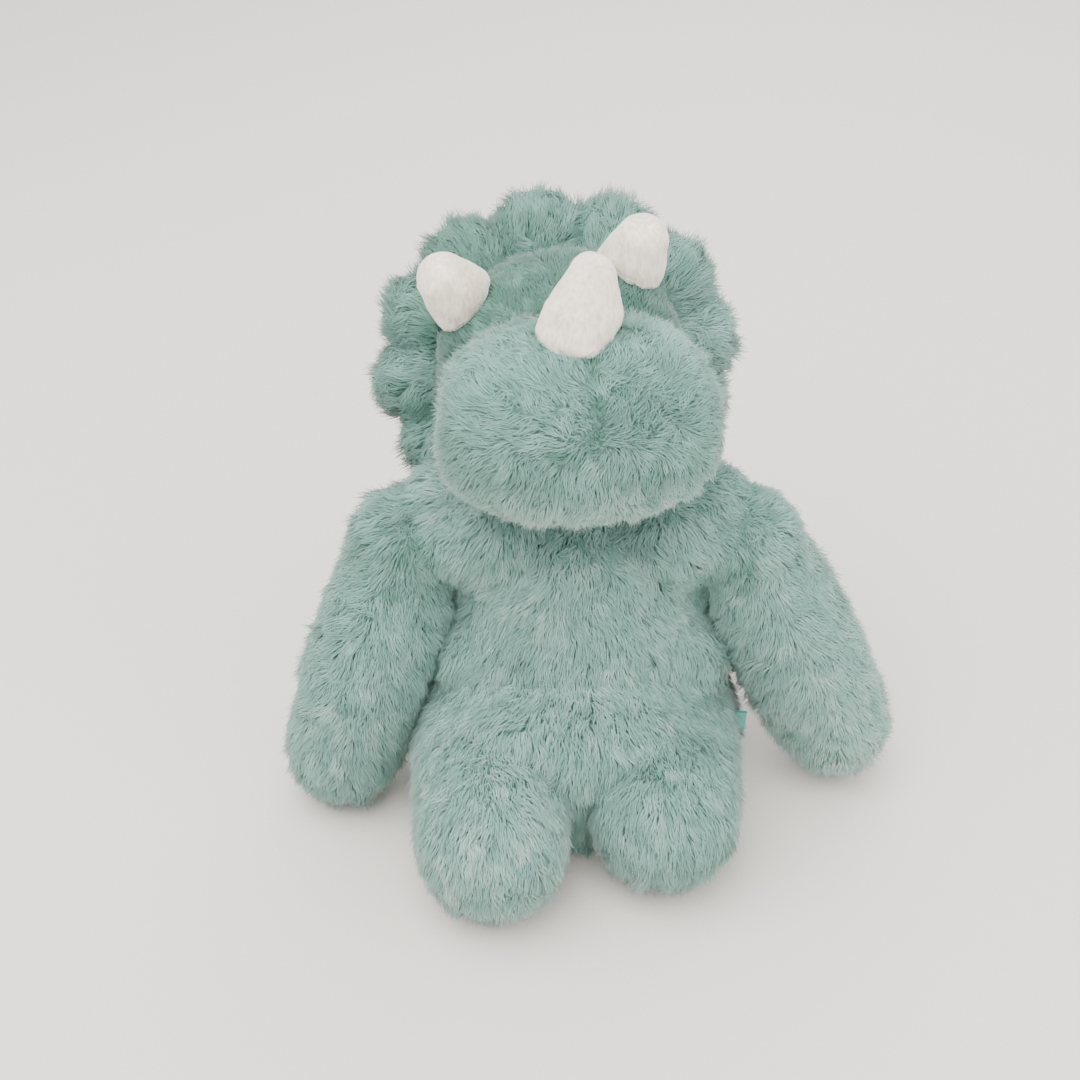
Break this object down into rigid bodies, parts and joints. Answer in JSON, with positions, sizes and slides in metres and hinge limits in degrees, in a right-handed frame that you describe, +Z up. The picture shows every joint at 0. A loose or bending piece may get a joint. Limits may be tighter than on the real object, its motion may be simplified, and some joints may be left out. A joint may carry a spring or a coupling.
{
  "type": "stuffed dinosaur",
  "caption": "Sitting plush horned dinosaur with a scalloped neck frill, soft horns, long-pile fur and stuffed limbs that swing.",
  "frame": {"origin": "on the flat underside of the seat, between the hips", "axes": "+Z up out of the seat; the toy faces -Y; its own left side is +X"},
  "size_m": [0.3188, 0.2466, 0.3129],
  "materials": {
    "fur": "long soft pile, sage to mint green, darker at the roots and frosted at the tips",
    "fur_inner": "the same pile, trodden flat",
    "velvet": "ivory crushed velvet with a soft sheen",
    "wadding": "loose white polyester filling",
    "pellet_cloth": "plain cotton bag filled with pellets",
    "ribbon": "satin ribbon, blank"
  },
  "bodies": {
    "torso": {"torso_skin": "fur", "seat_panel": "fur_inner", "seat_pellet_bag": "pellet_cloth", "torso_stuffing": "wadding", "side_label": "ribbon"},
    "neck": {"neck_gusset": "fur_inner", "neck_stuffing": "wadding"},
    "head": {"head_skin": "fur", "head_stuffing": "wadding", "snout_skin": "fur", "snout_stuffing": "wadding", "frill_front_panel": "fur", "frill_back_panel": "fur", "frill_wadding": "wadding", "nose_horn_skin": "velvet", "nose_horn_stuffing": "wadding", "brow_horn_left_skin": "velvet", "brow_horn_left_stuffing": "wadding", "brow_horn_right_skin": "velvet", "brow_horn_right_stuffing": "wadding"},
    "arm_left": {"arm_left_skin": "fur", "arm_left_stuffing": "wadding"},
    "arm_right": {"arm_right_skin": "fur", "arm_right_stuffing": "wadding"},
    "leg_left": {"leg_left_skin": "fur", "leg_left_pellet_bag": "pellet_cloth", "leg_left_stuffing": "wadding"},
    "leg_right": {"leg_right_skin": "fur", "leg_right_pellet_bag": "pellet_cloth", "leg_right_stuffing": "wadding"},
    "tail": {"tail_skin": "fur", "tail_stuffing": "wadding"}
  },
  "joints": [
    {"name": "neck_turn", "type": "hinge", "parent": "torso", "child": "neck", "pos_m": [0, 0.037, 0.172], "axis": [0, 0, 1], "range_deg": [-20, 20], "stiffness_Nm_per_rad": 0.5},
    {"name": "neck_nod", "type": "hinge", "parent": "neck", "child": "head", "pos_m": [0, 0.037, 0.172], "axis": [1, 0, 0], "range_deg": [-10, 15], "stiffness_Nm_per_rad": 0.8},
    {"name": "arm_left_swing", "type": "hinge", "parent": "torso", "child": "arm_left", "pos_m": [0.084, 0.022, 0.144], "axis": [-1, 0, 0], "range_deg": [-35, 60], "stiffness_Nm_per_rad": 0.15},
    {"name": "arm_right_swing", "type": "hinge", "parent": "torso", "child": "arm_right", "pos_m": [-0.084, 0.022, 0.144], "axis": [-1, 0, 0], "range_deg": [-35, 60], "stiffness_Nm_per_rad": 0.15},
    {"name": "leg_left_swing", "type": "hinge", "parent": "torso", "child": "leg_left", "pos_m": [0.043, -0.016, 0.04], "axis": [-1, 0, 0], "range_deg": [-20, 20], "stiffness_Nm_per_rad": 0.3},
    {"name": "leg_right_swing", "type": "hinge", "parent": "torso", "child": "leg_right", "pos_m": [-0.043, -0.016, 0.04], "axis": [-1, 0, 0], "range_deg": [-20, 20], "stiffness_Nm_per_rad": 0.3},
    {"name": "tail_wag", "type": "hinge", "parent": "torso", "child": "tail", "pos_m": [0, 0.05, 0.034], "axis": [0, 0, 1], "range_deg": [-25, 25], "stiffness_Nm_per_rad": 0.1}
  ]
}
